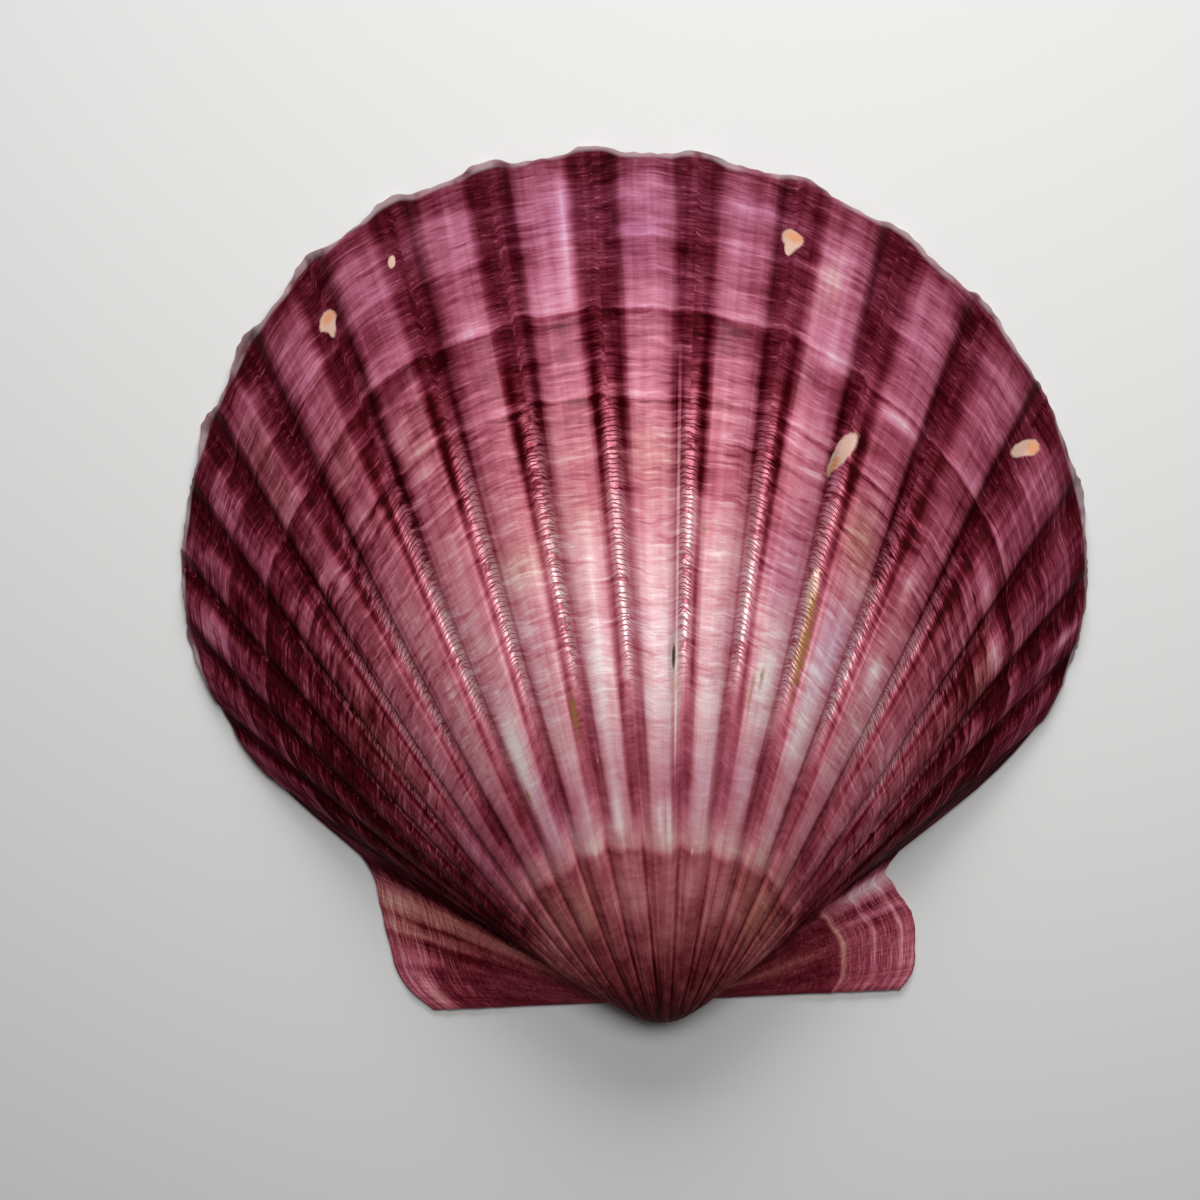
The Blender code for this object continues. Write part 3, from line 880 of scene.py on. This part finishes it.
colour = blend(0.9 - 0.9 * pit_distance.step(0.3, 1.2), colour, screen_colour(50, 42, 24))
rim_line = scale_line.step(0.9915, 0.9975) * (1 - ear) * (0.2 + 0.8 * clouds.step(0.40, 0.55))
colour = blend(rim_line * 0.5, colour, screen_colour(206, 184, 188))
colour = blend(edge * 0.5, colour, screen_colour(190, 160, 166))

# Low relief in millimetres, and the sheen: polished scales and worn rib tops.
line_height = (0.03 * fine_lines + 0.06 * broad_lines) * (0.35 + 0.65 * out_of_cap)
height = 0.05 * groove * scale_run * scales + line_height + 0.005 * grain
bump = raised(height)
roughness = 0.47 + 0.10 * fine_lines - 0.2 * groove * scale_run
surface.inputs["Specular IOR Level"].default_value = 0.02
surface.inputs["Coat Roughness"].default_value = 0.25
middle = 1 - flank
glossy = middle * growth.step(0.3, 0.45) * (1 - growth.step(0.7, 0.9))
polish = 0.3 * crown.step(0.75, 0.95) * glossy
pearl = 0.40 * groove * scale_run * middle + 0.22 * crown.step(0.5, 0.9) * glossy
feed(surface, {
    "Base Color": colour, "Roughness": roughness, "Coat Weight": polish, "Metallic": pearl, "Normal": bump,
})

# The hollow: a porcelain-smooth white lining tinged with lilac, with a dark band
# along the rim and a round scar where the closing muscle was fixed.
inside, surface = new_material("scallop_inside")
rib_number, growth = attribute("rib"), attribute("growth")
lines = noise(rib_number * 1.2, growth * 90, 2.0, 0.5)
patches = noise(rib_number * 0.7, growth * 7, 3.0, 0.6)
margin = (growth + 0.05 * (patches - 0.5)).step(0.90, 0.965)
beak_end = 1 - (growth + 0.08 * (patches - 0.5)).step(0.16, 0.42)
lining = blend(patches.step(0.3, 0.7), screen_colour(232, 224, 222), screen_colour(214, 194, 206))
lining = blend(beak_end * 0.55, lining, screen_colour(186, 150, 158))
lining = blend(margin * 0.85, lining, screen_colour(104, 52, 66))
place = Signal.node("ShaderNodeTexCoord", output="Object")
scar_place = Signal.node("ShaderNodeMapping", {"vector_type": "POINT"}, {
    "Vector": place, "Location": (-0.55, -0.1, 0.0), "Scale": (105.0, 90.0, 0.0),
})
scar_distance = Signal.node("ShaderNodeVectorMath", {"operation": "LENGTH"}, {0: scar_place}, "Value")
scar = 1 - (scar_distance + 0.3 * (patches - 0.5)).step(0.88, 1.0)
lining = blend(scar * 0.35, lining, screen_colour(240, 236, 230))
height = 0.012 * lines - 0.05 * scar + 0.01 * patches
bump = raised(height)
roughness = 0.24 + 0.12 * patches + 0.1 * margin
feed(surface, {"Base Color": lining, "Roughness": roughness, "Normal": bump})

valve_mesh.materials.append(outside)
valve_mesh.materials.append(inside)
scallop_valve = bpy.data.objects.new("scallop_valve", valve_mesh)
bpy.context.scene.collection.objects.link(scallop_valve)
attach(scallop_valve, "root")
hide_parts("valve")

# The table: a plain pale sheet under the shell, which the rim's groove ends and
# the hinge plate rest on. It is matt, and large enough to fill the view.
TABLE_HALF = 0.6
table_mesh = bpy.data.meshes.new("table_top")
table_corners = np.array(((-1, -1, 0), (1, -1, 0), (1, 1, 0), (-1, 1, 0))) * TABLE_HALF
table_mesh.from_pydata(table_corners, [], [(0, 1, 2, 3)])
table_paint, surface = new_material("pale_table")
surface.inputs["Base Color"].default_value = (0.83, 0.83, 0.82, 1.0)
surface.inputs["Roughness"].default_value = 0.9
table_mesh.materials.append(table_paint)
table_top = bpy.data.objects.new("table_top", table_mesh)
bpy.context.scene.collection.objects.link(table_top)


# The light: a window beyond the rim, and a soft lamp overhead. Both are broad, with
# their beams narrowed, so that the table is pale behind and dimmer in front.
def soft_light(name, place, aim, width, depth, power):
    """A rectangular lamp at a place, turned to face a point."""
    lamp = bpy.data.lights.new(name, "AREA")
    lamp.shape, lamp.size, lamp.size_y, lamp.energy = "RECTANGLE", width, depth, power
    holder = bpy.data.objects.new(name, lamp)
    holder.location = place
    direction = np.array(aim) - np.array(place)
    flat = np.hypot(direction[0], direction[1])
    turn = np.arctan2(-direction[0], direction[1])
    holder.rotation_euler = (np.arctan2(flat, -direction[2]), 0.0, turn)
    bpy.context.scene.collection.objects.link(holder)
    return holder


window = soft_light("window_light", (0.02, 0.24, 0.19), (0.012, 0.045, 0.0), 0.24, 0.16, 0.135)
window.data.spread = np.radians(75)
overhead = soft_light("overhead_light", (0.03, 0.09, 0.40), (0.015, 0.055, 0.0), 0.20, 0.14, 0.138)
overhead.data.spread = np.radians(70)
world = bpy.data.worlds.new("soft_room")
world.use_nodes = True
world.node_tree.nodes["Background"].inputs["Color"].default_value = (0.95, 0.97, 1.0, 1.0)
world.node_tree.nodes["Background"].inputs["Strength"].default_value = 0.06
bpy.context.scene.world = world
bpy.context.scene.view_settings.view_transform = "Standard"

# The camera looks straight down on the shell from a third of a metre, turned by a
# few degrees, so that the hinge line leans as in the photograph.
CAMERA_HEIGHT, CAMERA_TURN = 0.344, -0.0436
camera = bpy.data.cameras.new("camera")
camera.lens, camera.sensor_width = 120.0, 36.0
camera.clip_start = 0.01
viewer = bpy.data.objects.new("camera", camera)
viewer.location = BEAK + np.array((-3.913 * MM, 34.603 * MM, CAMERA_HEIGHT))
viewer.rotation_euler = (0.0, 0.0, CAMERA_TURN)
bpy.context.scene.collection.objects.link(viewer)
bpy.context.scene.camera = viewer
